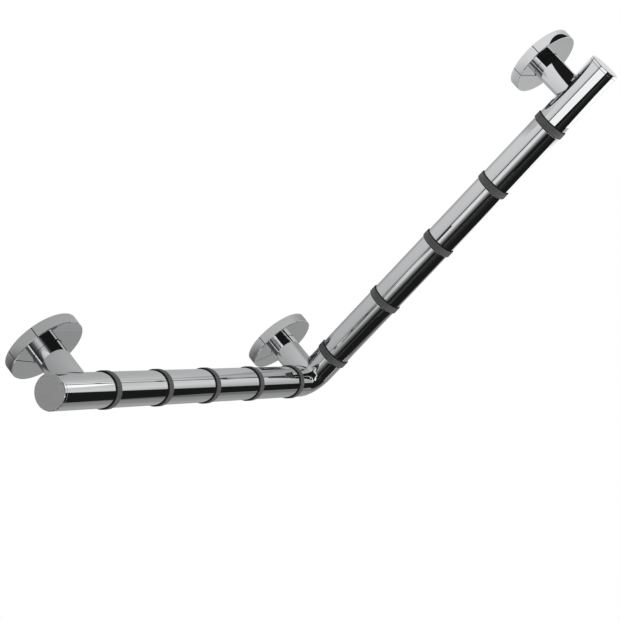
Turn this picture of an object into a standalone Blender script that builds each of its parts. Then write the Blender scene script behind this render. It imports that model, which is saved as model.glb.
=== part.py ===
"""L-shaped wall grab bar: two chromed tubes joined at a right angle, held off the wall by three posts.

Frame: +Z runs up along the upper arm, -X along the lower arm, -Y out of the wall.
The wall is the plane Y = 0, and the origin is the centre of the corner plate's back face.
Every length is in metres.
"""
import math

import bmesh
import bpy

GAP = 0.0003               # clearance between pieces that touch
OVERCUT = 0.001            # how far a cutter reaches past the surface it opens

ARM_LENGTH = 0.450         # from the crossing of the two bar axes to each end face
BAR_RADIUS = 0.016
BAR_WALL = 0.002
BAR_STANDOFF = 0.0575      # from the wall to the bar's axis
BEND_RADIUS = 0.020        # of the elbow's centre line
ELBOW_LEG = 0.0379         # from the crossing of the axes to the elbow's ends
SLEEVE_HALF = 0.015        # half the length of the sleeve inside each elbow joint
SLEEVE_WALL = 0.002

RINGS_PER_ARM = 5
FIRST_RING = 0.078         # from the end face to the first ring's centre
RING_PITCH = 0.0825
RING_WIDTH = 0.0076
RING_RADIUS = 0.0172
GROOVE_DEPTH = 0.001

CAP_DISC = 0.003
CAP_PLUG = 0.009
CAP_CHAMFER = 0.0004

POST_INSET = 0.040         # from an end face to its post's axis
CORNER_INSET = 0.007       # corner post's axis, inwards from each bar axis
POST_RADIUS = 0.014
POST_WALL = 0.002

COVER_RADIUS = 0.036
COVER_HEIGHT = 0.011
COVER_WALL = 0.0015
COVER_CHAMFER = 0.0006

SLOT_BEARINGS = {"lower": 174, "corner": 204, "upper": 190}  # degrees from +X towards +Z
INSERT_START = 0.004       # from the post's axis to the insert's two tips
TONGUE_START = 0.016       # from the post's axis
TONGUE_END = 0.027
TONGUE_LAP = 0.0025        # how far the tongue reaches under the cover on each side
TONGUE_THICKNESS = 0.0012

PLATE_RADIUS = 0.0335
PLATE_THICKNESS = 0.005
BOSS_HEIGHT = 0.013
SCREW_CIRCLE = 0.023       # radius of the circle of screw holes in a plate
SCREW_HOLE = 0.00275       # radius of a clearance hole for a 5 mm screw
SCREW_HOLES = 3

SEAL_RADIUS = 0.0012
SEAL_CIRCLE = 0.033

GRUB_RADIUS = 0.002
GRUB_LENGTH = 0.006
GRUB_HEIGHT = 0.008        # from the wall to the grub screw's axis
GRUB_SOCKET = 0.0011

BAR_SIDES = 32
PLATE_SIDES = 40
SMALL_SIDES = 16
SEAL_SIDES = 6
BEND_STEPS = 8
SHARP_ANGLE = math.radians(35)

CHROME = ((0.78, 0.79, 0.80), 0.06, 1.0)
SATIN_METAL = ((0.42, 0.42, 0.42), 0.42, 1.0)
GRIP_RUBBER = ((0.075, 0.076, 0.080), 0.60, 0.0)
ZINC_STEEL = ((0.55, 0.56, 0.57), 0.38, 1.0)
BLACK_STEEL = ((0.06, 0.06, 0.065), 0.35, 1.0)
SEAL_RUBBER = ((0.02, 0.02, 0.02), 0.70, 0.0)

CORNER = (CORNER_INSET, -BAR_STANDOFF, -CORNER_INSET)
POST_REACH = ARM_LENGTH - POST_INSET - CORNER_INSET
OUT_OF_WALL = (math.pi / 2, 0, 0)
ALONG_LOWER_ARM = (0, -math.pi / 2, 0)


def clear_scene():
    """Remove every object, so that the script can run twice."""
    for old in list(bpy.data.objects):
        bpy.data.objects.remove(old)


def new_collection(name):
    """Add an empty collection to the scene."""
    collection = bpy.data.collections.new(name)
    bpy.context.scene.collection.children.link(collection)
    return collection


def finish(piece, name, look):
    """Give a piece its own material from a colour, a roughness and a metallic value."""
    colour, roughness, metallic = look
    material = bpy.data.materials.new(name)
    material.use_nodes = True
    shader = material.node_tree.nodes["Principled BSDF"]
    shader.inputs["Base Color"].default_value = (*colour, 1)
    shader.inputs["Roughness"].default_value = roughness
    shader.inputs["Metallic"].default_value = metallic
    piece.data.materials.append(material)


def empty(name, location, rotation=(0, 0, 0)):
    """Add an empty that carries the pieces on one axis."""
    holder = bpy.data.objects.new(name, None)
    holder.location = location
    holder.rotation_euler = rotation
    PIECES.objects.link(holder)
    return holder


def place(piece, collection, parent=None, location=(0, 0, 0), rotation=(0, 0, 0)):
    """Link a piece and put it at a place in its parent's frame."""
    collection.objects.link(piece)
    piece.parent = parent
    piece.location = location
    piece.rotation_euler = rotation


def turned(name, profile, sides, closed=True):
    """Turn a profile of (radius, height) points about the local Z axis."""
    mesh = bpy.data.meshes.new(name)
    points = [(radius, 0, height) for radius, height in profile]
    edges = [(i, i + 1) for i in range(len(points) - 1)]
    if closed:
        edges.append((len(points) - 1, 0))
    mesh.from_pydata(points, edges, [])
    piece = bpy.data.objects.new(name, mesh)
    screw = piece.modifiers.new("turn", "SCREW")
    screw.steps = sides
    screw.render_steps = sides
    screw.use_merge_vertices = True
    screw.merge_threshold = 0.00001
    return piece


def pipe(outer, inner, low, high):
    """Profile of a plain pipe."""
    return [(outer, high), (outer, low), (inner, low), (inner, high)]


def bar_path(leg):
    """Centre line of the bar about the crossing of its axes: a leg, the bend and a leg."""
    turns = [math.radians(90) * i / BEND_STEPS for i in range(BEND_STEPS + 1)]
    bend = [(BEND_RADIUS * (math.sin(a) - 1), 0, BEND_RADIUS * (1 - math.cos(a))) for a in turns]
    return [(-leg, 0, 0), *bend, (0, 0, leg)]


def bent_tube(name, leg, radius, filled):
    """Mesh of a round tube along the bar's centre line, with or without end faces."""
    curve = bpy.data.curves.new(name, "CURVE")
    curve.dimensions = "3D"
    curve.bevel_depth = radius
    curve.bevel_resolution = BAR_SIDES // 2 - 2
    curve.use_fill_caps = filled
    path = bar_path(leg)
    spline = curve.splines.new("POLY")
    spline.points.add(len(path) - 1)
    for point, place_on_path in zip(spline.points, path):
        point.co = (*place_on_path, 1)
    guide = bpy.data.objects.new(name + "_guide", curve)
    guide.location = CORNER
    PIECES.objects.link(guide)
    bpy.context.view_layer.update()
    depsgraph = bpy.context.evaluated_depsgraph_get()
    mesh = bpy.data.meshes.new_from_object(guide.evaluated_get(depsgraph))
    weld(mesh)
    piece = bpy.data.objects.new(name, mesh)
    piece.matrix_world = guide.matrix_world
    bpy.data.objects.remove(guide)
    return piece


def block(name, start, end, half_width, low, high):
    """Box along X from start to end, and as wide on both sides of it."""
    cage = bmesh.new()
    bmesh.ops.create_cube(cage, size=1)
    size = (end - start, 2 * half_width, high - low)
    bmesh.ops.scale(cage, vec=size, verts=cage.verts)
    bmesh.ops.translate(cage, vec=((start + end) / 2, 0, (low + high) / 2), verts=cage.verts)
    mesh = bpy.data.meshes.new(name)
    cage.to_mesh(mesh)
    cage.free()
    return bpy.data.objects.new(name, mesh)


def weld(mesh):
    """Join the loose caps of a converted curve to its wall."""
    cage = bmesh.new()
    cage.from_mesh(mesh)
    bmesh.ops.remove_doubles(cage, verts=cage.verts, dist=0.00001)
    cage.to_mesh(mesh)
    cage.free()


def as_cutter(piece, parent=None, location=(0, 0, 0), rotation=(0, 0, 0)):
    """Put a shape among the cutters, shown as wire and never rendered."""
    CUTTERS.objects.link(piece)
    if parent:
        piece.parent = parent
        piece.location = location
        piece.rotation_euler = rotation
    piece.hide_render = True
    piece.display_type = "WIRE"
    return piece


def cut(piece, cutter, operation="DIFFERENCE"):
    """Combine a piece with a cutter, by default by taking the cutter away from it."""
    boolean = piece.modifiers.new(cutter.name, "BOOLEAN")
    boolean.operation = operation
    boolean.solver = "EXACT"
    boolean.object = cutter


def settle(piece):
    """Turn a piece's modifiers into plain mesh, shaded smooth between its sharp edges."""
    bpy.context.view_layer.update()
    depsgraph = bpy.context.evaluated_depsgraph_get()
    mesh = bpy.data.meshes.new_from_object(piece.evaluated_get(depsgraph))
    piece.modifiers.clear()
    piece.data = mesh
    mesh.shade_smooth()
    mesh.set_sharp_from_angle(angle=SHARP_ANGLE)


def ring_heights():
    """Ring centres along an arm, measured from the crossing of the axes, end ring first."""
    return [ARM_LENGTH - FIRST_RING - i * RING_PITCH for i in range(RINGS_PER_ARM)]


def bar_tube(name, arm):
    """Straight tube of one arm, with a shallow groove under each ring."""
    groove_radius = BAR_RADIUS - GROOVE_DEPTH
    half_groove = RING_WIDTH / 2 + GAP
    inner = BAR_RADIUS - BAR_WALL
    top = ARM_LENGTH - CAP_DISC - GAP
    low = ELBOW_LEG + GAP
    profile = [(BAR_RADIUS, top)]
    for height in ring_heights():
        profile += [(BAR_RADIUS, height + half_groove), (groove_radius, height + half_groove)]
        if height > ring_heights()[-1]:
            profile += [(groove_radius, height - half_groove), (BAR_RADIUS, height - half_groove)]
    profile += [(groove_radius, low), (inner, low), (inner, top)]
    tube = turned(name, profile, BAR_SIDES)
    place(tube, PIECES, arm)
    finish(tube, name, CHROME)
    settle(tube)


def corner_elbow():
    """Hollow elbow between the two tubes, with a nearly sharp inside corner."""
    elbow = bent_tube("corner_elbow", ELBOW_LEG, BAR_RADIUS, filled=False)
    PIECES.objects.link(elbow)
    wall = elbow.modifiers.new("wall", "SOLIDIFY")
    wall.thickness = BAR_WALL
    wall.offset = -1
    finish(elbow, "corner_elbow", CHROME)
    settle(elbow)


def joint_sleeve(name, arm):
    """Sleeve inside an elbow joint, half in the elbow and half in the tube."""
    outer = BAR_RADIUS - BAR_WALL - GAP
    profile = pipe(outer, outer - SLEEVE_WALL, ELBOW_LEG - SLEEVE_HALF, ELBOW_LEG + SLEEVE_HALF)
    sleeve = turned(name, profile, BAR_SIDES)
    place(sleeve, PIECES, arm)
    finish(sleeve, name, ZINC_STEEL)
    settle(sleeve)


def end_cap(name, arm):
    """Flat cap of the bar's own diameter, with a plug that fits in the tube."""
    plug = BAR_RADIUS - BAR_WALL - GAP
    profile = [
        (0, 0),
        (BAR_RADIUS - CAP_CHAMFER, 0),
        (BAR_RADIUS, -CAP_CHAMFER),
        (BAR_RADIUS, -CAP_DISC),
        (plug, -CAP_DISC),
        (plug, -CAP_DISC - CAP_PLUG),
        (0, -CAP_DISC - CAP_PLUG),
    ]
    cap = turned(name, profile, BAR_SIDES, closed=False)
    place(cap, PIECES, arm, location=(0, 0, ARM_LENGTH))
    finish(cap, name, SATIN_METAL)
    settle(cap)


def grip_rings(arm_name, arm):
    """Soft rings along one arm, each seated in its groove."""
    inner = BAR_RADIUS - GROOVE_DEPTH + GAP
    for number, height in enumerate(ring_heights(), start=1):
        name = f"grip_ring_{arm_name}_{number}"
        ring = turned(name, pipe(RING_RADIUS, inner, -RING_WIDTH / 2, RING_WIDTH / 2), BAR_SIDES)
        place(ring, PIECES, arm, location=(0, 0, height))
        finish(ring, name, GRIP_RUBBER)
        settle(ring)


def post(name, mount, bar_outline, grub_hole):
    """Hollow post from the plate to the bar, its far end shaped to sit on the bar."""
    inner = POST_RADIUS - POST_WALL
    profile = pipe(POST_RADIUS, inner, PLATE_THICKNESS + GAP, BAR_STANDOFF)
    tube = turned(name, profile, BAR_SIDES)
    place(tube, PIECES, mount)
    cut(tube, bar_outline)
    cut(tube, grub_hole)
    finish(tube, name, CHROME)
    settle(tube)


def turned_cup(name, mount, bearing):
    """The whole cover, before it is parted into its slotted piece and its insert."""
    bore = POST_RADIUS + GAP
    skirt = COVER_RADIUS - COVER_WALL
    underside = COVER_HEIGHT - COVER_WALL
    profile = [
        (bore, COVER_HEIGHT),
        (COVER_RADIUS - COVER_CHAMFER, COVER_HEIGHT),
        (COVER_RADIUS, COVER_HEIGHT - COVER_CHAMFER),
        (COVER_RADIUS, GAP),
        (skirt, GAP),
        (skirt, underside),
        (bore, underside),
    ]
    cup = turned(name, profile, PLATE_SIDES)
    place(cup, PIECES, mount, rotation=(0, 0, bearing))
    return cup


def flange_cover(name, mount, bearing):
    """Cover with a slot from its hole to its rim, so that it goes on the post from the side."""
    cover = turned_cup(name, mount, bearing)
    slot = block(name + "_slot", 0, COVER_RADIUS + OVERCUT, POST_RADIUS + 2 * GAP, -OVERCUT,
                 COVER_HEIGHT + OVERCUT)
    cut(cover, as_cutter(slot, mount, rotation=(0, 0, bearing)))
    finish(cover, name, CHROME)
    settle(cover)


def cover_insert(name, mount, bearing):
    """Piece that closes the cover's slot, with a tongue that bears on the cover's underside."""
    insert = turned_cup(name, mount, bearing)
    half_width = POST_RADIUS + GAP
    underside = COVER_HEIGHT - COVER_WALL
    tongue_top = underside - GAP
    inside = block(name + "_outline", INSERT_START, COVER_RADIUS + OVERCUT, half_width, -OVERCUT,
                   COVER_HEIGHT + OVERCUT)
    tongue = block(name + "_tongue", TONGUE_START, TONGUE_END, half_width + TONGUE_LAP,
                   tongue_top - TONGUE_THICKNESS, tongue_top)
    neck = block(name + "_neck", TONGUE_START + GAP, TONGUE_END - GAP, half_width - GAP,
                 tongue_top - TONGUE_THICKNESS / 2, underside + COVER_WALL / 2)
    cut(insert, as_cutter(inside, mount, rotation=(0, 0, bearing)), "INTERSECT")
    cut(insert, as_cutter(neck, mount, rotation=(0, 0, bearing)), "UNION")
    cut(insert, as_cutter(tongue, mount, rotation=(0, 0, bearing)), "UNION")
    finish(insert, name, CHROME)
    settle(insert)


def screw_hole_cutters(name, mount):
    """Countersunk holes for the wall screws, spaced evenly round a plate."""
    top = PLATE_THICKNESS + OVERCUT
    head = SCREW_HOLE * 2 + OVERCUT
    seat = top - (head - SCREW_HOLE)
    profile = [(0, top), (head, top), (SCREW_HOLE, seat), (SCREW_HOLE, -OVERCUT), (0, -OVERCUT)]
    holes = []
    for i in range(SCREW_HOLES):
        angle = math.radians(90) + 2 * math.pi * i / SCREW_HOLES
        spot = (SCREW_CIRCLE * math.cos(angle), SCREW_CIRCLE * math.sin(angle), 0)
        hole = turned(f"{name}_screw_hole_{i + 1}", profile, SMALL_SIDES, closed=False)
        holes.append(as_cutter(hole, mount, location=spot))
    return holes


def wall_plate(name, mount, grub_hole):
    """Plate that is screwed to the wall, with a boss for the post and a groove for the seal."""
    boss = POST_RADIUS - POST_WALL - GAP
    groove = SEAL_CIRCLE - SEAL_RADIUS - GAP
    middle = PLATE_THICKNESS / 2
    half_groove = SEAL_RADIUS + GAP
    profile = [
        (0, BOSS_HEIGHT),
        (boss, BOSS_HEIGHT),
        (boss, PLATE_THICKNESS),
        (PLATE_RADIUS, PLATE_THICKNESS),
        (PLATE_RADIUS, middle + half_groove),
        (groove, middle + half_groove),
        (groove, middle - half_groove),
        (PLATE_RADIUS, middle - half_groove),
        (PLATE_RADIUS, 0),
        (0, 0),
    ]
    plate = turned(name, profile, PLATE_SIDES, closed=False)
    place(plate, PIECES, mount)
    for hole in screw_hole_cutters(name, mount):
        cut(plate, hole)
    cut(plate, grub_hole)
    finish(plate, name, ZINC_STEEL)
    settle(plate)


def cover_seal(name, mount):
    """Rubber ring in the plate's groove, which grips the cover."""
    bpy.ops.mesh.primitive_torus_add(
        major_segments=PLATE_SIDES, minor_segments=SEAL_SIDES,
        major_radius=SEAL_CIRCLE, minor_radius=SEAL_RADIUS)
    seal = bpy.context.object
    seal.name = name
    for collection in list(seal.users_collection):
        collection.objects.unlink(seal)
    place(seal, PIECES, mount, location=(0, 0, PLATE_THICKNESS / 2))
    finish(seal, name, SEAL_RUBBER)
    settle(seal)


def grub_hole_cutter(name, mount):
    """Radial hole for the grub screw, through the post's wall and into the boss."""
    outer = POST_RADIUS + OVERCUT
    inner = POST_RADIUS - GRUB_LENGTH - 2 * GAP
    radius = GRUB_RADIUS + GAP
    profile = [(0, outer), (radius, outer), (radius, inner), (0, inner)]
    hole = turned(name, profile, SMALL_SIDES, closed=False)
    return as_cutter(hole, mount, location=(0, 0, GRUB_HEIGHT), rotation=(math.pi / 2, 0, 0))


def grub_screw(name, mount):
    """Headless screw that locks the post on the plate's boss, with a hexagon socket."""
    top = POST_RADIUS - GAP
    tip = top - GRUB_LENGTH
    cone = GRUB_RADIUS / 2
    profile = [(0, top), (GRUB_RADIUS, top), (GRUB_RADIUS, tip + cone), (cone, tip), (0, tip)]
    screw = turned(name, profile, SMALL_SIDES, closed=False)
    spot = (0, 0, GRUB_HEIGHT)
    turn = (math.pi / 2, 0, 0)
    place(screw, PIECES, mount, location=spot, rotation=turn)
    depth = GRUB_LENGTH / 3
    key = [(0, top + depth), (GRUB_SOCKET, top + depth), (GRUB_SOCKET, top - depth), (0, top - depth)]
    socket = turned(name + "_socket", key, 6, closed=False)
    cut(screw, as_cutter(socket, mount, location=spot, rotation=turn))
    finish(screw, name, BLACK_STEEL)
    settle(screw)


def arm_pieces(name, rotation):
    """Everything that is turned about one arm's axis."""
    arm = empty(f"{name}_arm_axis", CORNER, rotation)
    bar_tube(f"{name}_tube", arm)
    joint_sleeve(f"{name}_joint_sleeve", arm)
    end_cap(f"{name}_end_cap", arm)
    grip_rings(name, arm)


def mount_pieces(name, x, z, bar_outline):
    """Everything that is turned about one post's axis."""
    mount = empty(f"{name}_post_axis", (x, 0, z), OUT_OF_WALL)
    grub_hole = grub_hole_cutter(f"{name}_grub_hole", mount)
    post(f"{name}_post", mount, bar_outline, grub_hole)
    bearing = math.radians(SLOT_BEARINGS[name])
    flange_cover(f"{name}_flange_cover", mount, bearing)
    cover_insert(f"{name}_cover_insert", mount, bearing)
    wall_plate(f"{name}_wall_plate", mount, grub_hole)
    cover_seal(f"{name}_cover_seal", mount)
    grub_screw(f"{name}_grub_screw", mount)


clear_scene()
PIECES = new_collection("angled_grab_bar")
CUTTERS = new_collection("cutters")

arm_pieces("lower", ALONG_LOWER_ARM)
arm_pieces("upper", (0, 0, 0))
corner_elbow()

outline = as_cutter(bent_tube("bar_outline", ARM_LENGTH, BAR_RADIUS + GAP, filled=True))
mount_pieces("lower", -POST_REACH, -CORNER_INSET, outline)
mount_pieces("corner", 0, 0, outline)
mount_pieces("upper", CORNER_INSET, POST_REACH, outline)
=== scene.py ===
import math

import bmesh
import bpy
import numpy as np
from mathutils import Matrix, Vector


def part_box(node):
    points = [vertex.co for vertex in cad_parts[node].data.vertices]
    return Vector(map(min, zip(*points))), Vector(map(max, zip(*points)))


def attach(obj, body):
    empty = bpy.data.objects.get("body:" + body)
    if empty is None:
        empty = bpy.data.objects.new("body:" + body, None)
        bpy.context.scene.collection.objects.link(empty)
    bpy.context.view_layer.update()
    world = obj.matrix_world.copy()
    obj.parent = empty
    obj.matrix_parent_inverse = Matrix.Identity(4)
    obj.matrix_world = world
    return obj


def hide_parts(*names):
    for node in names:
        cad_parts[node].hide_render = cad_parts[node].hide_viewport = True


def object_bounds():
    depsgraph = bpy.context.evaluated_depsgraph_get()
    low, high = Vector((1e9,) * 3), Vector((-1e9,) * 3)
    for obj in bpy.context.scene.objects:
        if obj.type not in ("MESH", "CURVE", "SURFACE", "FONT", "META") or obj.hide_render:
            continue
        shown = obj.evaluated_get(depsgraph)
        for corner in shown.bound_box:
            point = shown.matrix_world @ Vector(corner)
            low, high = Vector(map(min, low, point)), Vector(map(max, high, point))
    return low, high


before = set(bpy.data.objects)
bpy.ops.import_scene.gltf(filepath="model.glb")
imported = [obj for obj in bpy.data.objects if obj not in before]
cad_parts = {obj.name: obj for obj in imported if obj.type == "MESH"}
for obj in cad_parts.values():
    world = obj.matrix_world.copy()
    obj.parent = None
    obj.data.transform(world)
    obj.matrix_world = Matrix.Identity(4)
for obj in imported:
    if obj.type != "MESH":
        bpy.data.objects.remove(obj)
CAD_LOW, CAD_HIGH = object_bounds()

MM = 0.001
TINY = 1e-6                # metres or radians that count as none
ARMS = ("lower", "upper")
MOUNTS = ("lower", "corner", "upper")
RINGS_PER_ARM = 5
ROUND_SIDES = 128          # sides of the tubes, rings, posts, caps, plates and seals
FLANGE_SIDES = 192         # sides of the covers
SCREW_SIDES = 64           # sides of the grub screws and of the countersunk holes
GRUB_HOLE_SIDES = 48
HEXAGON_SIDES = 6
ARC_STEPS = 6              # steps in each rounded edge
EDGE_STEPS = 4             # steps in the softened edges of the covers' slots
BEND_STEPS = 48            # steps in the elbow's bend

OUT_OF_WALL = Matrix.Rotation(math.radians(90), 4, "X")  # turns Z out of the wall, and Y up it
ACROSS_ARM = Matrix.Rotation(math.radians(-90), 4, "Z") @ OUT_OF_WALL  # turns Z along the lower arm
ARM_TURN = {"lower": Matrix.Rotation(math.radians(-90), 4, "Y"), "upper": Matrix.Identity(4)}


# ---------------------------------------------------------------- places, from the frame

def middle(node):
    """Centre of a node's box."""
    low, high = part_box(node)
    return (low + high) / 2


def extent(node):
    """Size of a node's box."""
    low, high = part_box(node)
    return high - low


BAR_RADIUS = extent("lower_tube").y / 2
BAR_AXIS_Y = middle("lower_tube").y
CORNER = Vector((middle("upper_tube").x, BAR_AXIS_Y, middle("lower_tube").z))
ARM_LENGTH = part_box("upper_end_cap")[1].z - CORNER.z
TUBE_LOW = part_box("upper_tube")[0].z - CORNER.z
TUBE_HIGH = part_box("upper_tube")[1].z - CORNER.z
ELBOW_LEG = CORNER.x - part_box("corner_elbow")[0].x
RING_WIDTH = extent("grip_ring_upper_1").z
RING_RADIUS = extent("grip_ring_upper_1").x / 2
RING_HEIGHTS = [middle(f"grip_ring_upper_{i + 1}").z - CORNER.z for i in range(RINGS_PER_ARM)]
POST_RADIUS = extent("lower_post").x / 2
POST_BASE = -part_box("lower_post")[1].y
PLATE_RADIUS = extent("lower_wall_plate").x / 2
COVER_RADIUS = PLATE_RADIUS + (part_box("lower_flange_cover")[1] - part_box("lower_wall_plate")[1]).x
COVER_TOP = -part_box("lower_flange_cover")[0].y
COVER_RIM = -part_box("lower_flange_cover")[1].y
BOSS_TOP = extent("lower_wall_plate").y
SEAL_HEIGHT = -middle("lower_cover_seal").y
SEAL_OUTER = extent("lower_cover_seal").x / 2
GRUB_HEIGHT = -middle("lower_grub_screw").y
GRUB_RADIUS = extent("lower_grub_screw").x / 2
SLEEVE_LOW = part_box("upper_joint_sleeve")[0].z - CORNER.z
SLEEVE_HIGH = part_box("upper_joint_sleeve")[1].z - CORNER.z

GAP = 0.3 * MM             # between pieces that touch
HAIR = 0.01 * MM           # far less than any feature
SOFT_EDGE = 0.2 * MM       # rounding of the edges of the covers' slots
BAR_WALL = 2 * MM
GROOVE_DEPTH = 1 * MM
BEND_RADIUS = 20 * MM
CAP_DISC = 3 * MM
POST_WALL = 2 * MM
COVER_WALL = 1.5 * MM
INSERT_START = 4 * MM      # from the post's axis to the insert's two tips
TONGUE_START = 16 * MM
TONGUE_END = 27 * MM
TONGUE_LAP = 2.5 * MM
TONGUE_THICKNESS = 1.2 * MM
PLATE_THICKNESS = 5 * MM
SCREW_CIRCLE = 23 * MM
SCREW_HOLE = 2.75 * MM
SCREW_HOLES = 3
SEAL_RADIUS = 1.2 * MM
GRUB_LENGTH = 6 * MM
GRUB_SOCKET = 1.1 * MM
SLOT_BEARINGS = {"lower": 174, "corner": 204, "upper": 190}  # degrees from +X towards +Z


# ---------------------------------------------------------------- turned shapes

def rounded_profile(corners, closed):
    """Points (radius, height) and normals of a turned outline, from corners (radius, height, rounding)."""
    spots = [np.array(c[:2], float) for c in corners]
    count = len(corners)
    points, normals = [], []
    for i, (here, corner) in enumerate(zip(spots, corners)):
        has_both = closed or 0 < i < count - 1
        if not has_both:
            along = spots[1] - spots[0] if i == 0 else spots[-1] - spots[-2]
            along /= np.linalg.norm(along)
            points.append(here)
            normals.append(np.array([-along[1], along[0]]))
            continue
        arrive = here - spots[i - 1]
        leave = spots[(i + 1) % count] - here
        arrive /= np.linalg.norm(arrive)
        leave /= np.linalg.norm(leave)
        turn = math.atan2(arrive[0] * leave[1] - arrive[1] * leave[0], arrive @ leave)
        if abs(turn) < TINY:
            points.append(here)
            normals.append(np.array([-arrive[1], arrive[0]]))
            continue
        reach = corner[2] * abs(math.tan(turn / 2))
        normal = np.array([-arrive[1], arrive[0]])
        side = -1 if turn < 0 else 1
        start = here - arrive * reach
        centre = start + side * normal * corner[2]
        for step in range(ARC_STEPS + 1):
            angle = turn * step / ARC_STEPS
            c, s = math.cos(angle), math.sin(angle)
            swung = np.array([[c, -s], [s, c]]) @ normal
            points.append(centre - side * swung * corner[2])
            normals.append(swung)
    return points, normals


def smooth_mesh(name, points, faces, normals):
    """Mesh with its exact surface normals. A point whose normal is None is shaded flat."""
    mesh = bpy.data.meshes.new(name)
    mesh.from_pydata([tuple(p) for p in points], [], faces)
    mesh.shade_smooth()
    corner_normals = []
    for face in mesh.polygons:
        for vertex in face.vertices:
            exact = normals[vertex]
            corner_normals.append(tuple(face.normal if exact is None else exact))
    mesh.normals_split_custom_set(corner_normals)
    return mesh


def turned_mesh(name, corners, sides, closed=True):
    """Turn a rounded outline about the Z axis. A closed one goes round to its first corner again."""
    outline, outline_normals = rounded_profile(corners, closed)
    points, normals, rows = [], [], []
    for (radius, height), (n_radius, n_height) in zip(outline, outline_normals):
        if radius < TINY:
            rows.append([len(points)] * sides)
            points.append((0, 0, height))
            normals.append((0, 0, n_height))
            continue
        rows.append(list(range(len(points), len(points) + sides)))
        for j in range(sides):
            c, s = math.cos(2 * math.pi * j / sides), math.sin(2 * math.pi * j / sides)
            points.append((radius * c, radius * s, height))
            normals.append((n_radius * c, n_radius * s, n_height))
    faces = []
    spans = len(rows) if closed else len(rows) - 1
    for i in range(spans):
        top, low = rows[i], rows[(i + 1) % len(rows)]
        for j in range(sides):
            k = (j + 1) % sides
            corners_of_face = [top[j], low[j], low[k], top[k]]
            faces.append(list(dict.fromkeys(corners_of_face)))
    return smooth_mesh(name, points, faces, normals)


def slot_row(spot, normal, gate, tips, is_insert):
    """Path of an outline point from one wall of a slot to the other, as (angle, radius, height, roll).

    The roll is the turn of the softened edge: 90 degrees at one wall, 0 between, -90 at the other.
    """
    radius, height = spot
    n_radius, n_height = normal
    side = -1 if is_insert else 1
    turn = 0 if is_insert else 2 * math.pi
    columns = FLANGE_SIDES // 6 if is_insert else FLANGE_SIDES

    def end_angle(reach, across):
        """Angle at which a circle of that radius meets the slot's wall, or the insert's tip."""
        return min(math.asin(min(1, across / reach)), math.acos(min(1, tips / reach)))

    edge = []
    for step in range(EDGE_STEPS, 0, -1):
        roll = math.radians(90) * step / EDGE_STEPS
        inset = SOFT_EDGE * (1 - math.cos(roll))
        across = gate + side * SOFT_EDGE * (1 - math.sin(roll))
        reach = radius - n_radius * inset
        edge.append((end_angle(reach, across), reach, height - n_height * inset, roll))
    start = end_angle(radius, gate + side * SOFT_EDGE)
    finish = turn - start
    between = [(start + (finish - start) * j / columns, radius, height, 0) for j in range(columns + 1)]
    far_edge = [(turn - angle, reach, level, -roll) for angle, reach, level, roll in reversed(edge)]
    row = edge + between + far_edge
    return row[::-1] if is_insert else row


def parted_grid(corners, gate, tips, is_insert):
    """Part of a turned outline on one side of a slot's two planes, with softened edges at the cuts.

    The slot is as wide as gate on each side of the X axis. The insert is what lies inside it, from
    tips outwards, and the other part is what lies outside it.
    """
    outline, outline_normals = rounded_profile(corners, closed=True)
    side = -1 if is_insert else 1
    points, normals, rows = [], [], []
    for spot, normal in zip(outline, outline_normals):
        rows.append(len(points))
        for angle, radius, height, roll in slot_row(spot, normal, gate, tips, is_insert):
            c, s = math.cos(angle), math.sin(angle)
            points.append((radius * c, radius * s, height))
            n_radius, n_height = normal * abs(math.cos(roll))
            normals.append((n_radius * c, n_radius * s - side * math.sin(roll), n_height))
    count = len(points) // len(rows)
    faces = []
    for i, row in enumerate(rows):
        after = rows[(i + 1) % len(rows)]
        for j in range(count - 1):
            faces.append((row + j, after + j, after + j + 1, row + j + 1))
    outside = [i for i, (radius, _) in enumerate(outline) if radius > math.hypot(gate, tips) - HAIR]
    first, last = outside[0], outside[-1]
    for wall in (rows[first:last + 1], rows[last:] + rows[:first + 1]):
        faces.append(tuple(reversed(wall)))
        faces.append(tuple(row + count - 1 for row in wall))
    return points, faces, normals


def tube_faces(rows):
    """Faces between rows of ROUND_SIDES points, each row given by the number of its first point."""
    faces = []
    for i, row in enumerate(rows):
        after = rows[(i + 1) % len(rows)]
        for j in range(ROUND_SIDES):
            k = (j + 1) % ROUND_SIDES
            faces.append((row + j, row + k, after + k, after + j))
    return faces


def rounded_block(start, end, half_width, low, high, softness):
    """Points and faces of a box along X whose edges are bevelled."""
    cage = bmesh.new()
    bmesh.ops.create_cube(cage, size=1)
    bmesh.ops.scale(cage, vec=(end - start, 2 * half_width, high - low), verts=cage.verts)
    bmesh.ops.translate(cage, vec=((start + end) / 2, 0, (low + high) / 2), verts=cage.verts)
    bmesh.ops.bevel(cage, geom=cage.edges[:], offset=softness, segments=2, affect="EDGES", profile=0.5)
    points = [tuple(v.co) for v in cage.verts]
    faces = [tuple(v.index for v in f.verts) for f in cage.faces]
    cage.free()
    return points, faces


def carved(name, mesh, cutters):
    """Mesh with the cutters' shapes taken away from it."""
    whole = bpy.data.objects.new(name + "_whole", mesh)
    tools = [bpy.data.objects.new(name + "_tool", cutter) for cutter in cutters]
    for obj in [whole, *tools]:
        bpy.context.scene.collection.objects.link(obj)
    for tool in tools:
        boolean = whole.modifiers.new("carve", "BOOLEAN")
        boolean.operation = "DIFFERENCE"
        boolean.solver = "EXACT"
        boolean.object = tool
    depsgraph = bpy.context.evaluated_depsgraph_get()
    result = bpy.data.meshes.new_from_object(whole.evaluated_get(depsgraph))
    for obj in [whole, *tools]:
        bpy.data.objects.remove(obj)
    result.name = name
    return result


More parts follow.
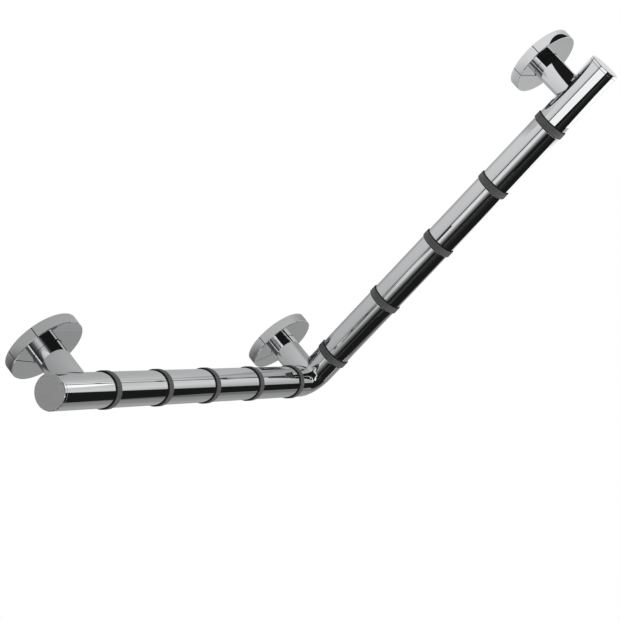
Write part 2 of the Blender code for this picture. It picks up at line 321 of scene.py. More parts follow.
def crease(mesh, degrees=30):
    """Shade smooth, with sharp edges where faces meet at more than an angle."""
    if "custom_normal" in mesh.attributes:
        mesh.attributes.remove(mesh.attributes["custom_normal"])
    mesh.shade_smooth()
    mesh.set_sharp_from_angle(angle=math.radians(degrees))
    return mesh


def turned_cutter(name, corners, sides, place):
    """Turned shape for cutting, put at a place."""
    mesh = turned_mesh(name, corners, sides, closed=False)
    mesh.transform(place)
    return mesh


def add_piece(name, mesh, place, material, body, node):
    """Put a mesh in the scene as the piece that stands for a CAD node."""
    mesh.materials.append(material)
    piece = bpy.data.objects.new(name, mesh)
    piece.matrix_world = place
    bpy.context.scene.collection.objects.link(piece)
    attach(piece, body)
    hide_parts(node)


def repaint(mesh, material, chosen):
    """Give a second material to the faces that chosen says yes to."""
    mesh.materials.append(material)
    for face in mesh.polygons:
        if chosen(face):
            face.material_index = 1


def arm_place(arm, height=0.0):
    """Frame on an arm's axis: Z along the arm, away from the corner."""
    return Matrix.Translation(CORNER) @ ARM_TURN[arm] @ Matrix.Translation((0, 0, height))


def mount_place(mount):
    """Frame on a post's axis: Z out of the wall, from the wall's plane."""
    spot = middle(f"{mount}_wall_plate")
    return Matrix.Translation((spot.x, 0, spot.z)) @ OUT_OF_WALL


# ---------------------------------------------------------------- materials

class Nodes:
    """A material's node tree, with short calls for what the finishes share."""

    def __init__(self, name, metallic, specular=0.5):
        self.material = bpy.data.materials.new(name)
        self.material.use_nodes = True
        self.tree = self.material.node_tree
        self.shader = self.tree.nodes["Principled BSDF"]
        self.shader.inputs["Metallic"].default_value = metallic
        self.shader.inputs["Specular IOR Level"].default_value = specular
        self.place = self.tree.nodes.new("ShaderNodeTexCoord").outputs["Object"]

    def link(self, output, node, socket):
        self.tree.links.new(output, node.inputs[socket])

    def noise(self, scale, detail=3):
        """Noise over the piece, its features 1/scale metres across."""
        noise = self.tree.nodes.new("ShaderNodeTexNoise")
        noise.inputs["Scale"].default_value = scale
        noise.inputs["Detail"].default_value = detail
        self.link(self.place, noise, "Vector")
        return noise.outputs["Fac"]

    def ramp(self, factor, low, high):
        """Colour that goes from low to high over the middle of the factor's range."""
        ramp = self.tree.nodes.new("ShaderNodeValToRGB")
        first, last = ramp.color_ramp.elements
        first.position, last.position = 0.3, 0.7
        first.color, last.color = (*low, 1), (*high, 1)
        self.link(factor, ramp, "Fac")
        return ramp.outputs["Color"]

    def colour(self, factor, low, high):
        self.link(self.ramp(factor, low, high), self.shader, "Base Color")

    def roughness(self, factor, low, high):
        self.link(self.ramp(factor, (low,) * 3, (high,) * 3), self.shader, "Roughness")

    def bump(self, height, depth, strength):
        """Raise the surface by up to depth metres."""
        bump = self.tree.nodes.new("ShaderNodeBump")
        bump.inputs["Distance"].default_value = depth
        bump.inputs["Strength"].default_value = strength
        self.link(height, bump, "Height")
        self.link(bump.outputs["Normal"], self.shader, "Normal")


def chrome(name):
    """Polished chrome plating with faint wipe marks and a hint of polishing waviness."""
    nodes = Nodes(name, metallic=1.0)
    nodes.colour(nodes.noise(30), (0.775, 0.785, 0.795), (0.805, 0.812, 0.818))
    nodes.roughness(nodes.noise(55, detail=6), 0.004, 0.012)
    nodes.bump(nodes.noise(45, detail=1), 0.012 * MM, strength=0.35)
    return nodes.material


def seam_shade_metal():
    """Rough metal painted near black in the covers' seams and bores: painted shade for the gaps."""
    nodes = Nodes("seam_shade_metal", metallic=0.6)
    nodes.colour(nodes.noise(500, detail=4), (0.012, 0.012, 0.013), (0.035, 0.035, 0.037))
    nodes.roughness(nodes.noise(700), 0.5, 0.7)
    return nodes.material


def satin_metal():
    """Fine satin metal of the end caps."""
    nodes = Nodes("satin_metal", metallic=0.2)
    grain = nodes.noise(1400)
    nodes.colour(grain, (0.69, 0.69, 0.695), (0.73, 0.73, 0.735))
    nodes.roughness(nodes.noise(260, detail=5), 0.28, 0.34)
    nodes.bump(grain, 0.005 * MM, strength=0.15)
    return nodes.material


def grip_rubber():
    """Matt dark grey rubber with a fine moulded grain."""
    nodes = Nodes("grip_rubber", metallic=0.0, specular=0.35)
    nodes.colour(nodes.noise(320, detail=5), (0.082, 0.083, 0.087), (0.112, 0.113, 0.117))
    nodes.roughness(nodes.noise(700), 0.52, 0.70)
    nodes.bump(nodes.noise(3200, detail=4), 0.03 * MM, strength=0.5)
    return nodes.material


def shaded_ring_side():
    """The rings' rubber on their sides: rougher than on the outer face, and painted blacker as shade."""
    nodes = Nodes("shaded_ring_side", metallic=0.0, specular=0.15)
    nodes.colour(nodes.noise(420, detail=5), (0.024, 0.024, 0.025), (0.036, 0.036, 0.037))
    nodes.roughness(nodes.noise(700), 0.7, 0.85)
    return nodes.material


def zinc_steel():
    """Zinc-plated steel with a mottled sheen."""
    nodes = Nodes("zinc_steel", metallic=1.0)
    nodes.colour(nodes.noise(140, detail=5), (0.50, 0.52, 0.56), (0.64, 0.65, 0.66))
    nodes.roughness(nodes.noise(210, detail=6), 0.26, 0.45)
    nodes.bump(nodes.noise(500, detail=4), 0.02 * MM, strength=0.4)
    return nodes.material


def black_steel():
    """Blackened steel of the grub screws."""
    nodes = Nodes("black_steel", metallic=1.0)
    nodes.colour(nodes.noise(900, detail=4), (0.035, 0.035, 0.038), (0.075, 0.075, 0.08))
    nodes.roughness(nodes.noise(1100), 0.28, 0.42)
    return nodes.material


def seal_rubber():
    """Smooth black rubber of the cover seals."""
    nodes = Nodes("seal_rubber", metallic=0.0, specular=0.4)
    nodes.colour(nodes.noise(400), (0.014, 0.014, 0.014), (0.028, 0.028, 0.029))
    nodes.roughness(nodes.noise(600), 0.45, 0.62)
    return nodes.material


BAR_CHROME = chrome("bar_chrome")
COVER_CHROME = chrome("cover_chrome")
SEAM_SHADE_METAL = seam_shade_metal()
SATIN_METAL = satin_metal()
GRIP_RUBBER = grip_rubber()
SHADED_RING_SIDE = shaded_ring_side()
ZINC_STEEL = zinc_steel()
BLACK_STEEL = black_steel()
SEAL_RUBBER = seal_rubber()


# ---------------------------------------------------------------- the bar

def bar_tube(arm):
    """Tube with a groove under each ring, the grooves' edges softly rounded."""
    soft, crisp = 0.7 * MM, 0.1 * MM
    inner = BAR_RADIUS - BAR_WALL
    groove = BAR_RADIUS - GROOVE_DEPTH
    half = RING_WIDTH / 2 + GAP
    corners = [(BAR_RADIUS, TUBE_HIGH, crisp)]
    for height in RING_HEIGHTS:
        corners += [(BAR_RADIUS, height + half, soft), (groove, height + half, crisp)]
        if height > RING_HEIGHTS[-1]:
            corners += [(groove, height - half, crisp), (BAR_RADIUS, height - half, soft)]
    corners += [(groove, TUBE_LOW, crisp), (inner, TUBE_LOW, crisp), (inner, TUBE_HIGH, crisp)]
    mesh = turned_mesh(f"{arm}_bar_tube", corners, ROUND_SIDES)
    add_piece(f"{arm}_bar_tube", mesh, arm_place(arm), BAR_CHROME, "bar_frame", f"{arm}_tube")


def end_cap(arm):
    """Satin cap with a polished chamfer and side, and its plug in the tube."""
    edge, plug = 0.4 * MM, BAR_RADIUS - BAR_WALL - GAP
    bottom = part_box("upper_end_cap")[0].z - CORNER.z - ARM_LENGTH
    polished = BAR_RADIUS - 1.2 * edge
    corners = [
        (0, 0, 0),
        (BAR_RADIUS - edge, 0, 0.1 * MM),
        (BAR_RADIUS, -edge, 0.1 * MM),
        (BAR_RADIUS, -CAP_DISC, 0.1 * MM),
        (plug, -CAP_DISC, 0.1 * MM),
        (plug, bottom, 0.5 * MM),
        (0, bottom, 0),
    ]
    mesh = turned_mesh(f"{arm}_cap", corners, ROUND_SIDES, closed=False)
    add_piece(f"{arm}_cap", mesh, arm_place(arm, ARM_LENGTH), SATIN_METAL, "bar_frame",
              f"{arm}_end_cap")
    repaint(mesh, BAR_CHROME, lambda face: math.hypot(face.center.x, face.center.y) > polished)


def grip_ring(arm, number, height):
    """Soft ring with rounded outer edges, and sides painted darker as shade."""
    half, inner = RING_WIDTH / 2, BAR_RADIUS - GROOVE_DEPTH + GAP
    soft = 0.55 * MM
    side_tilt = 0.55       # how far along the arm a face of the ring's sides looks
    corners = [
        (inner, half, 0.15 * MM),
        (RING_RADIUS, half, soft),
        (RING_RADIUS, -half, soft),
        (inner, -half, 0.15 * MM),
    ]
    name = f"ring_{arm}_{number}"
    mesh = turned_mesh(name, corners, ROUND_SIDES)
    add_piece(name, mesh, arm_place(arm, height), GRIP_RUBBER, "bar_frame",
              f"grip_ring_{arm}_{number}")
    # The sides get the rubber painted darker as shade.
    repaint(mesh, SHADED_RING_SIDE, lambda face: abs(face.normal.z) > side_tilt)


def centre_line(leg):
    """Points and directions of the elbow's centre line about the crossing of the two axes."""
    line = [(Vector((-leg, 0, 0)), Vector((1, 0, 0)))]
    for step in range(BEND_STEPS + 1):
        a = math.radians(90) * step / BEND_STEPS
        spot = Vector((BEND_RADIUS * (math.sin(a) - 1), 0, BEND_RADIUS * (1 - math.cos(a))))
        line.append((spot, Vector((math.cos(a), 0, math.sin(a)))))
    line.append((Vector((0, 0, leg)), Vector((0, 0, 1))))
    return line


def corner_elbow():
    """Hollow elbow: its outer skin, its inner skin and a rounded rim at each end."""
    points, normals, rows = [], [], []
    line = centre_line(ELBOW_LEG)
    out_of_plane = Vector((0, 1, 0))

    def ring(spot, along, radius, facing, tilt):
        """Points round the centre line, with normals that look facing outwards and tilt along it."""
        rows.append(len(points))
        sideways = out_of_plane.cross(along)
        for j in range(ROUND_SIDES):
            a = 2 * math.pi * j / ROUND_SIDES
            out = sideways * math.cos(a) + out_of_plane * math.sin(a)
            points.append(CORNER + spot + out * radius)
            normals.append((out * facing + along * tilt).normalized())

    inner, edge = BAR_RADIUS - BAR_WALL, 0.35 * MM
    start, start_along = line[0]
    end, end_along = line[-1]
    ring(start, start_along, BAR_RADIUS - edge, 0.4, -1)
    ring(start + start_along * edge, start_along, BAR_RADIUS, 1, -0.4)
    ring(start + start_along * edge * 2, start_along, BAR_RADIUS, 1, 0)
    for spot, along in line[1:-1]:
        ring(spot, along, BAR_RADIUS, 1, 0)
    ring(end - end_along * edge * 2, end_along, BAR_RADIUS, 1, 0)
    ring(end - end_along * edge, end_along, BAR_RADIUS, 1, 0.4)
    ring(end, end_along, BAR_RADIUS - edge, 0.4, 1)
    ring(end, end_along, inner, -0.7, 0.7)
    for spot, along in reversed(line[1:-1]):
        ring(spot, along, inner, -1, 0)
    ring(start, start_along, inner, -0.7, -0.7)
    mesh = smooth_mesh("elbow", points, tube_faces(rows), normals)
    add_piece("elbow", mesh, Matrix.Identity(4), BAR_CHROME, "bar_frame", "corner_elbow")


# ---------------------------------------------------------------- the posts and flanges

def off_centre_line(x, z):
    """Distance, in the wall's plane, from a point to the bar's centre line."""
    dx, dz = x - CORNER.x, z - CORNER.z
    if dx > -BEND_RADIUS and dz < BEND_RADIUS:
        return abs(math.hypot(dx + BEND_RADIUS, dz - BEND_RADIUS) - BEND_RADIUS)
    return abs(dz) if dx <= -BEND_RADIUS else abs(dx)


def downwards(height):
    """Frame whose Z axis points down the wall, from a post's axis at a height off the wall."""
    return Matrix.Translation((0, 0, height)) @ Matrix.Rotation(math.radians(90), 4, "X")


def grub_hole():
    """Cutter for the grub screw's hole through the post's wall and into the boss."""
    over, radius = POST_RADIUS + 1 * MM, GRUB_RADIUS + GAP
    bottom = POST_RADIUS - GRUB_LENGTH - 2 * GAP
    corners = [(0, over, 0), (radius, over, 0), (radius, bottom, 0), (0, bottom, 0)]
    return turned_cutter("grub_hole", corners, GRUB_HOLE_SIDES, downwards(GRUB_HEIGHT))


def round_wall(mesh):
    """Exact normals on the walls of a shape that is turned about the Z axis."""
    corner_normals = []
    for face in mesh.polygons:
        for vertex in face.vertices:
            spot = mesh.vertices[vertex].co
            radial = Vector((spot.x, spot.y, 0)).normalized()
            facing = face.normal.dot(radial)
            on_wall = abs(facing) > 0.95
            exact = radial * math.copysign(1, facing) if on_wall else face.normal
            corner_normals.append(tuple(exact))
    mesh.shade_smooth()
    mesh.normals_split_custom_set(corner_normals)


def post(mount):
    """Hollow post whose far end follows the bar's surface."""
    spot = middle(f"{mount}_wall_plate")
    bar_height = -BAR_AXIS_Y
    edge = 0.4 * MM
    points, normals, rows = [], [], []

    def ring(radius, height_at, facing, tilt):
        """Points round the post, with normals that look facing outwards and tilt along it."""
        rows.append(len(points))
        for j in range(ROUND_SIDES):
            a = 2 * math.pi * j / ROUND_SIDES
            c, s = math.cos(a), math.sin(a)
            points.append((radius * c, radius * s, height_at(c, s)))
            normals.append(Vector((c * facing, s * facing, tilt)).normalized())

    def on_bar(radius, drop):
        """Heights round the post that stay a gap and a drop short of the bar."""
        def height(c, s):
            off = off_centre_line(spot.x + radius * c, spot.z + radius * s)
            return bar_height - math.sqrt((BAR_RADIUS + GAP) ** 2 - off ** 2) - drop
        return height

    inner = POST_RADIUS - POST_WALL
    ring(inner, lambda c, s: POST_BASE, -0.7, -0.7)
    ring(POST_RADIUS - edge, lambda c, s: POST_BASE, 0.4, -1)
    ring(POST_RADIUS, lambda c, s: POST_BASE + edge, 1, -0.4)
    ring(POST_RADIUS, lambda c, s: POST_BASE + 2 * edge, 1, 0)
    ring(POST_RADIUS, on_bar(POST_RADIUS, edge * 1.6), 1, 0)
    ring(POST_RADIUS, on_bar(POST_RADIUS, edge * 0.8), 1, 0.3)
    ring(POST_RADIUS - edge * 0.6, on_bar(POST_RADIUS - edge * 0.6, 0), 0.5, 1)
    ring(inner, on_bar(inner, 0), -0.7, 0.7)
    name = f"{mount}_standoff"
    mesh = carved(name, smooth_mesh(name, points, tube_faces(rows), normals), [grub_hole()])
    round_wall(mesh)
    add_piece(name, mesh, mount_place(mount), BAR_CHROME, "bar_frame", f"{mount}_post")


def cup_corners(gate, tips):
    """Outline of the whole cover, with a point on each flat face just beyond the slot walls' start."""
    bore, skirt = POST_RADIUS + GAP, COVER_RADIUS - COVER_WALL
    underside = COVER_TOP - COVER_WALL
    beyond = math.hypot(gate, tips) + SOFT_EDGE + 6 * HAIR
    return [
        (bore, COVER_TOP, 0.2 * MM),
        (beyond, COVER_TOP, 0),
        (COVER_RADIUS, COVER_TOP, 0.7 * MM),
        (COVER_RADIUS, COVER_RIM, 0.25 * MM),
        (skirt, COVER_RIM, 0.25 * MM),
        (skirt, underside, 0.8 * MM),
        (beyond, underside, 0),
        (bore, underside, 0.2 * MM),
    ]


def in_seam_shade(face, gate):
    """Whether a face is a wall of the slot or of the bore, which gets the painted seam shade."""
    x, y, _ = face.center
    beside_slot = abs(abs(y) - gate) < SOFT_EDGE + HAIR and abs(face.normal.y) > 0.15 and x > 0
    in_bore = math.hypot(x, y) < POST_RADIUS + 1.5 * GAP
    return beside_slot or in_bore


def add_cover_piece(name, mount, points, faces, normals, gate, node):
    """Turn a piece of a cover so that its X axis points out of the slot, and put it on its post."""
    turn = Matrix.Rotation(math.radians(SLOT_BEARINGS[mount]), 4, "Z")
    mesh = smooth_mesh(name, points, faces, normals)
    # Walls of the slot and the bore get the painted seam shade.
    seam_shaded = [in_seam_shade(face, gate) for face in mesh.polygons]
    mesh.transform(turn)
    add_piece(name, mesh, mount_place(mount), COVER_CHROME, f"{mount}_cover", node)
    mesh.materials.append(SEAM_SHADE_METAL)
    mesh.polygons.foreach_set("material_index", seam_shaded)


def flange_cover(mount):
    """Slotted cover with softened edges."""
    gate = POST_RADIUS + 2 * GAP
    points, faces, normals = parted_grid(cup_corners(gate, 0), gate, 0, is_insert=False)
    add_cover_piece(f"{mount}_cover_shell", mount, points, faces, normals, gate, f"{mount}_flange_cover")


def cover_insert(mount):
    """Piece that closes the slot, on a neck and tongue that reach under the cover."""
    gate = POST_RADIUS + GAP
    corners = cup_corners(gate, INSERT_START)
    points, faces, normals = parted_grid(corners, gate, INSERT_START, is_insert=True)
    underside = COVER_TOP - COVER_WALL
    top = underside - GAP
    neck = rounded_block(TONGUE_START + GAP, TONGUE_END - GAP, gate - GAP, top - TONGUE_THICKNESS / 2,
                         underside + COVER_WALL / 3, 0.1 * MM)
    tongue = rounded_block(TONGUE_START, TONGUE_END, gate + TONGUE_LAP, top - TONGUE_THICKNESS, top,
                           0.25 * MM)
    for block_points, block_faces in (neck, tongue):
        offset = len(points)
        points += block_points
        normals += [None] * len(block_points)
        faces += [tuple(offset + v for v in face) for face in block_faces]
    add_cover_piece(f"{mount}_cover_key", mount, points, faces, normals, gate, f"{mount}_cover_insert")


# ---------------------------------------------------------------- under the covers and in the joints

def screw_holes():
    """Cutters for the countersunk holes, spaced evenly round a plate."""
    top = PLATE_THICKNESS + 1 * MM
    head = 2 * SCREW_HOLE + 1 * MM
    seat = top - (head - SCREW_HOLE)
    below = -1 * MM
    corners = [(0, top, 0), (head, top, 0), (SCREW_HOLE, seat, 0), (SCREW_HOLE, below, 0), (0, below, 0)]
    cutters = []
    for i in range(SCREW_HOLES):
        angle = math.radians(90) + 2 * math.pi * i / SCREW_HOLES
        spot = (SCREW_CIRCLE * math.cos(angle), SCREW_CIRCLE * math.sin(angle), 0)
        cutters.append(turned_cutter("screw_hole", corners, SCREW_SIDES, Matrix.Translation(spot)))
    return cutters


def wall_plate(mount):
    """Zinc-plated plate with its boss, seal groove and screw holes."""
    boss = POST_RADIUS - POST_WALL - GAP
    groove = SEAL_OUTER - 2 * SEAL_RADIUS - GAP
    half = SEAL_RADIUS + GAP
    corners = [
        (0, BOSS_TOP, 0),
        (boss, BOSS_TOP, 0.8 * MM),
        (boss, PLATE_THICKNESS, 0.2 * MM),
        (PLATE_RADIUS, PLATE_THICKNESS, 0.4 * MM),
        (PLATE_RADIUS, SEAL_HEIGHT + half, 0.15 * MM),
        (groove, SEAL_HEIGHT + half, 0.3 * MM),
        (groove, SEAL_HEIGHT - half, 0.3 * MM),
        (PLATE_RADIUS, SEAL_HEIGHT - half, 0.15 * MM),
        (PLATE_RADIUS, 0, 0.3 * MM),
        (0, 0, 0),
    ]
    name = f"{mount}_plate"
    whole = turned_mesh(name, corners, ROUND_SIDES, closed=False)
    mesh = crease(carved(name, whole, [*screw_holes(), grub_hole()]), degrees=22)
    add_piece(name, mesh, mount_place(mount), ZINC_STEEL, "bar_frame", f"{mount}_wall_plate")


def cover_seal(mount):
    """Round rubber ring in the plate's groove."""
    circle, rounding = SEAL_OUTER - SEAL_RADIUS, 0.99 * SEAL_RADIUS
    inner, outer = circle - SEAL_RADIUS, circle + SEAL_RADIUS
    low, high = SEAL_HEIGHT - SEAL_RADIUS, SEAL_HEIGHT + SEAL_RADIUS
    corners = [
        (inner, high, rounding),
        (outer, high, rounding),
        (outer, low, rounding),
        (inner, low, rounding),
    ]
    mesh = turned_mesh(f"{mount}_seal", corners, ROUND_SIDES)
    add_piece(f"{mount}_seal", mesh, mount_place(mount), SEAL_RUBBER, "bar_frame",
              f"{mount}_cover_seal")


def grub_screw(mount):
    """Cone-pointed grub screw with its hexagon socket."""
    top = POST_RADIUS - GAP
    tip = top - GRUB_LENGTH
    cone = GRUB_RADIUS / 2
    corners = [
        (0, top, 0),
        (GRUB_RADIUS, top, 0.25 * MM),
        (GRUB_RADIUS, tip + cone, 0.1 * MM),
        (cone, tip, 0.1 * MM),
        (0, tip, 0),
    ]
    floor, over = top - GRUB_LENGTH / 3, top + GRUB_LENGTH / 3
    key = [(0, over, 0), (GRUB_SOCKET, over, 0), (GRUB_SOCKET, floor, 0), (0, floor, 0)]
    name = f"{mount}_locking_screw"
    socket = turned_cutter("socket", key, HEXAGON_SIDES, Matrix.Identity(4))
    mesh = crease(carved(name, turned_mesh(name, corners, SCREW_SIDES, closed=False), [socket]))
    place = mount_place(mount) @ downwards(GRUB_HEIGHT)
    add_piece(name, mesh, place, BLACK_STEEL, "bar_frame", f"{mount}_grub_screw")


def joint_sleeve(arm):
    """Short sleeve inside a joint, its edges broken."""
    outer = extent("upper_joint_sleeve").x / 2
    inner = outer - BAR_WALL
    corners = [
        (outer, SLEEVE_HIGH, 0.4 * MM),
        (outer, SLEEVE_LOW, 0.4 * MM),
        (inner, SLEEVE_LOW, 0.2 * MM),
        (inner, SLEEVE_HIGH, 0.2 * MM),
    ]
    mesh = turned_mesh(f"{arm}_sleeve", corners, ROUND_SIDES)
    add_piece(f"{arm}_sleeve", mesh, arm_place(arm), ZINC_STEEL, "bar_frame",
              f"{arm}_joint_sleeve")


for arm in ARMS:
    bar_tube(arm)
    end_cap(arm)
    joint_sleeve(arm)
    for number, height in enumerate(RING_HEIGHTS, start=1):
        grip_ring(arm, number, height)
corner_elbow()
for mount in MOUNTS:
    post(mount)
    flange_cover(mount)
    cover_insert(mount)
    wall_plate(mount)
    cover_seal(mount)
    grub_screw(mount)


# ---------------------------------------------------------------- studio

FLOOR_DROP = 2.2           # from the lowest point of the part to the floor
FLOOR_HALF = 20            # half of the floor's width
BACK_CIRCLE = 1.02         # radii of the curved cards, from the back layer to the front one
CARD_CIRCLE = 1.0
GOBO_CIRCLE = 0.98
SHADE_CIRCLE = 0.97
STREAK_CIRCLE = 0.96
NEAR_CIRCLE = 0.5
END_CIRCLE = 0.13
FRONT = (-57, 6)           # azimuths of the front cards
CARD_STEP = 3              # degrees between the columns of a card of even height
CARD_BLACK = 0.012
BOARD_DEPTH = 4 * MM       # of the board behind the wall's plane
FILM_DEPTH = 2 * MM
SIDE_SHADE_X = -1.2
POST_SHADE_X = -0.5
SHADOW_DEPTHS = {"lower": 1.0, "corner": 0.8, "upper": 0.35}


def surface(name, node_kind):
    """Material with one shader of the named kind, and that shader."""
    material = bpy.data.materials.new(name)
    material.use_nodes = True
    tree = material.node_tree
    tree.nodes.remove(tree.nodes["Principled BSDF"])
    shader = tree.nodes.new(node_kind)
    tree.links.new(shader.outputs[0], tree.nodes["Material Output"].inputs["Surface"])
    return material, shader


def fade(tree, shader, falloffs):
    """Set a shader's colour to the product of its falloffs.

    A falloff is named for an object axis, and has stops (place in metres, share) along it.
    """
    product = None
    for axis, stops in falloffs.items():
        first, last = stops[0][0], stops[-1][0]
        spot = tree.nodes.new("ShaderNodeSeparateXYZ")
        tree.links.new(tree.nodes.new("ShaderNodeTexCoord").outputs["Object"], spot.inputs["Vector"])
        along = tree.nodes.new("ShaderNodeMapRange")
        along.inputs["From Min"].default_value = first
        along.inputs["From Max"].default_value = last
        tree.links.new(spot.outputs[axis], along.inputs["Value"])
        ramp = tree.nodes.new("ShaderNodeValToRGB")
        elements = ramp.color_ramp.elements
        for i, (place, share) in enumerate(stops):
            element = elements[i] if i < 2 else elements.new(1)
            element.position = (place - first) / (last - first)
            element.color = (share, share, share, 1)
        tree.links.new(along.outputs["Result"], ramp.inputs["Fac"])
        if product is None:
            product = ramp.outputs["Color"]
            continue
        times = tree.nodes.new("ShaderNodeVectorMath")
        times.operation = "MULTIPLY"
        tree.links.new(product, times.inputs[0])
        tree.links.new(ramp.outputs["Color"], times.inputs[1])
        product = times.outputs["Vector"]
    tree.links.new(product, shader.inputs["Color"])


def glow(name, brightness, **falloffs):
    """Emission of one brightness, times the falloffs."""
    material, emission = surface(name, "ShaderNodeEmission")
    emission.inputs["Color"].default_value = (1, 1, 1, 1)
    emission.inputs["Strength"].default_value = brightness
    if falloffs:
        fade(material.node_tree, emission, falloffs)
    return material


def tint(name, **falloffs):
    """Clear film that darkens what is behind it by the falloffs."""
    material, film = surface(name, "ShaderNodeBsdfTransparent")
    fade(material.node_tree, film, falloffs)
    return material


def card(name, points, faces, place, material):
    """Studio card that only polished metal sees: it is hidden from the camera and gives no light."""
    mesh = bpy.data.meshes.new(name)
    mesh.from_pydata(points, [], faces)
    mesh.materials.append(material)
    obj = bpy.data.objects.new(name, mesh)
    obj.matrix_world = place
    bpy.context.scene.collection.objects.link(obj)
    obj.visible_camera = False
    obj.visible_diffuse = False
    obj.visible_shadow = False
    obj.visible_transmission = False
    return obj


def flat_card(name, low, high, place, material):
    """Flat rectangular card between two corners (x, y)."""
    points = [(low[0], low[1], 0), (high[0], low[1], 0), (high[0], high[1], 0), (low[0], high[1], 0)]
    return card(name, points, [(0, 1, 2, 3)], place, material)


def curved_card(name, radius, columns, material, turn=Matrix.Identity(4)):
    """Card on a circle about the corner's local Z axis, from columns of (azimuth, low, high)."""
    points, faces = [], []
    for i, (azimuth, low, high) in enumerate(columns):
        a = math.radians(azimuth)
        x, y = radius * math.cos(a), radius * math.sin(a)
        points += [(x, y, low), (x, y, high)]
        if i:
            faces.append((2 * i - 2, 2 * i, 2 * i + 1, 2 * i - 1))
    card(name, points, faces, Matrix.Translation(CORNER) @ turn, material)


def arc(first, last, low, high):
    """Columns of a card of even height."""
    return [(azimuth, low, high) for azimuth in range(first, last + 1, CARD_STEP)]


def surroundings():
    """Even white light from all round, and a pale floor."""
    world = bpy.data.worlds.new("studio")
    world.use_nodes = True
    world.node_tree.nodes["Background"].inputs["Color"].default_value = (1, 1, 1, 1)
    world.node_tree.nodes["Background"].inputs["Strength"].default_value = 1.0
    bpy.context.scene.world = world
    floor = flat_card("floor", (-FLOOR_HALF, -FLOOR_HALF), (FLOOR_HALF, FLOOR_HALF),
                      Matrix.Translation((0, 0, CAD_LOW.z - FLOOR_DROP)), glow("floor_white", 1.0))
    floor.visible_camera = True


def side_shade(black):
    """Black card past the lower arm's end that only diffuse light meets: what faces it is darker."""
    place = Matrix.Translation((SIDE_SHADE_X, 0, 0)) @ ACROSS_ARM
    shade = flat_card("dark_side", (-1, -1), (1, 1), place, black)
    shade.visible_glossy = False
    shade.visible_diffuse = True
    shade.visible_shadow = True


def backdrop(black):
    """Pale board behind the bar, with black above it and past its end, and dark grey below it."""
    board = glow("board_grey", 1.0,
                 Y=[(-0.1, 0.42), (0.5, 0.86)],
                 # The X falloff dips just past the upper arm: a painted shadow of the bar on the board.
                 X=[(-0.45, 0.8), (-0.15, 1.0), (-0.01, 1.0), (0.035, 0.6), (0.12, 0.75), (0.4, 0.85)])
    place = Matrix.Translation((0, BOARD_DEPTH, 0)) @ OUT_OF_WALL
    flat_card("wall_board", (-0.62, -3), (3, 0.457), place, board)
    curved_card("roof", BACK_CIRCLE, arc(54, 159, -1.26, 0.94), black, OUT_OF_WALL)
    ground = glow("ground_grey", 1.0, X=[(-0.62, 0.14), (-0.3, 0.08), (0.1, 0.12), (0.5, 0.3)])
    curved_card("ground", BACK_CIRCLE, arc(231, 300, 0.02, 0.94), ground, OUT_OF_WALL)
    curved_card("board_end", BACK_CIRCLE, arc(150, 180, -1.2, 1.2), black)


def side_cards():
    """Grey card past the lower arm's end, and a bright strip over it."""
    side = glow("side_grey", 1.0,
                X=[(-1.0, 0.75), (-0.974, 1.0), (-0.934, 0.8), (-0.875, 0.42), (-0.8, 0.2), (-0.71, 0.06),
                   (-0.64, 0.01)],
                Z=[(-0.62, 0.06), (-0.4, 0.3), (-0.25, 0.52), (-0.13, 0.8), (0.0, 0.95)])
    curved_card("side_low", CARD_CIRCLE, arc(-180, -129, -0.9, 0.2), side)
    curved_card("side_high", CARD_CIRCLE, arc(-180, -126, 0.2, 0.33), glow("side_light", 1.1))


def front_cards():
    """Cards before the bar, grey low down and brighter higher up, and a light by the upper arm's end."""
    grey = glow("front_grey", 1.0,
                Z=[(-1.2, 0.4), (-0.8, 0.4), (-0.6, 0.36), (-0.3, 0.33)],
                Y=[(-0.7, 0.75), (-0.55, 0.88), (-0.3, 1.0), (0, 1.02)])
    rise = glow("front_rise", 1.0,
                Z=[(-0.3, 0.33), (-0.2, 0.24), (-0.1, 0.3), (-0.02, 0.6), (0.05, 0.9)],
                Y=[(-0.85, 0.45), (-0.64, 0.6), (-0.5, 0.8), (-0.34, 1.0), (-0.17, 1.4), (0, 1.6)])
    light = glow("front_light", 1.3,
                 Z=[(0.05, 0.9), (0.17, 0.9), (0.2, 0.42), (0.35, 0.33), (0.47, 0.4), (0.6, 0.52),
                    (0.7, 0.58), (0.95, 0.5)])
    curved_card("front_low", CARD_CIRCLE, arc(*FRONT, -1.2, -0.3), grey)
    curved_card("front_middle", CARD_CIRCLE, arc(*FRONT, -0.3, 0.05), rise)
    curved_card("front_high", CARD_CIRCLE, arc(*FRONT, 0.05, 0.95), light)
    columns = [(-66, 0.405, 0.5), (-55, 0.362, 0.5), (-30, 0.362, 0.5), (-8, 0.362, 0.5)]
    curved_card("end_light", END_CIRCLE, columns, glow("end_white", 1.25))


def gobos(black):
    """Black cards between the side and the front, which the bars mirror as dark bands."""
    columns = [(-132, -0.62, 0.2), (-124, -0.62, 0.34)] + arc(-123, -60, -0.62, 0.62)
    curved_card("gobo", GOBO_CIRCLE, columns, black)
    near_columns = [
        (-72, -0.19, 0.46), (-66, -0.17, 0.44), (-60, -0.13, 0.41), (-54, -0.09, 0.37), (-47, -0.045, 0.3),
        (-40, -0.04, 0.24), (-33, -0.035, 0.19), (-27, 0.02, 0.16), (-22, 0.1, 0.13),
    ]
    curved_card("near_gobo", NEAR_CIRCLE, near_columns, black)


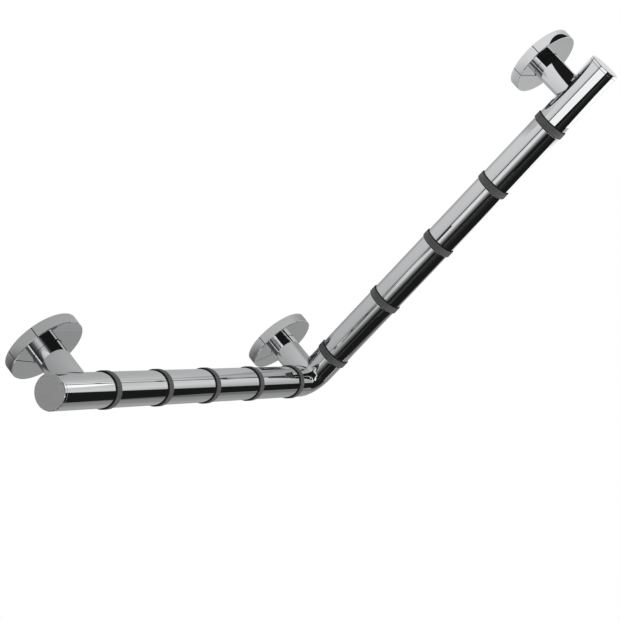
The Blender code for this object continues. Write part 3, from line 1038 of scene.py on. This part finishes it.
def flange_shadows():
    """Clear films on the backdrop that stand for the shadows under the flanges."""
    for mount, depth in SHADOW_DEPTHS.items():
        film = tint(f"{mount}_shadow_film",
                    Y=[(-0.075, 1.0), (-0.062, 1 - 0.85 * depth), (-0.045, 1 - 0.8 * depth),
                       (-0.033, 1 - 0.5 * depth), (-0.015, 1 - 0.1 * depth), (-0.005, 1.0)])
        centre = middle(f"{mount}_wall_plate")
        place = Matrix.Translation((centre.x, FILM_DEPTH, centre.z)) @ OUT_OF_WALL
        flat_card(f"{mount}_shadow", (-0.06, -0.075), (0.03, 0), place, film)


def streaks():
    """Small grey cards that the lower flange's face, the posts and the bars' dark bands mirror."""
    streak = glow("streak_grey", 0.08)
    curved_card("face_streak", STREAK_CIRCLE, [(-37.5, -0.616, -0.608), (-32, -0.535, -0.527)], streak)
    shade = glow("shade_grey", 0.2)
    curved_card("face_shade", SHADE_CIRCLE, [(-37.5, -0.635, -0.606), (-32, -0.554, -0.525)], shade)
    post_grey = glow("post_grey", 1.0,
                     Y=[(-0.11, 0.02), (-0.045, 0.12), (-0.01, 0.5), (0.015, 0.74), (0.035, 0.68),
                        (0.055, 0.3), (0.075, 0.05)])
    place = Matrix.Translation((POST_SHADE_X, 0, 0)) @ ACROSS_ARM
    flat_card("post_shade", (0.045, -0.12), (0.14, 0.1), place, post_grey)
    thin = glow("thin_grey", 0.12)
    curved_card("left_streak", STREAK_CIRCLE, [(-118.5, -0.35, 0.12), (-116, -0.35, 0.12)], thin)
    curved_card("middle_streak", STREAK_CIRCLE, [(-108, -0.2, 0.55), (-105.5, -0.2, 0.55)], thin)
    curved_card("right_streak", STREAK_CIRCLE, [(-94, -0.1, 0.5), (-92.5, -0.1, 0.5)], streak)


def studio():
    """White surroundings, a pale floor, and the cards that the chrome mirrors."""
    surroundings()
    black = glow("card_black", CARD_BLACK)
    side_shade(black)
    backdrop(black)
    side_cards()
    front_cards()
    gobos(black)
    flange_shadows()
    streaks()


def camera():
    """Long lens, looking along the wall from past the lower arm's end, rolled as the bar is pictured."""
    from_corner = Vector((-1.6319, -0.5714, 0.6735))
    forward = Vector((0.8802, 0.3365, -0.3345)).normalized()
    up = Vector((-0.0143, 0.7235, 0.6902))
    back = -forward
    right = up.cross(back).normalized()
    up = back.cross(right)
    data = bpy.data.cameras.new("camera")
    data.lens = 102.1
    data.sensor_width = 36
    data.clip_end = 100
    cam = bpy.data.objects.new("camera", data)
    turn = Matrix((right, up, back)).transposed().to_4x4()
    cam.matrix_world = Matrix.Translation(CORNER + from_corner) @ turn
    bpy.context.scene.collection.objects.link(cam)
    bpy.context.scene.camera = cam
    bpy.context.scene.view_settings.view_transform = "Standard"


studio()
camera()
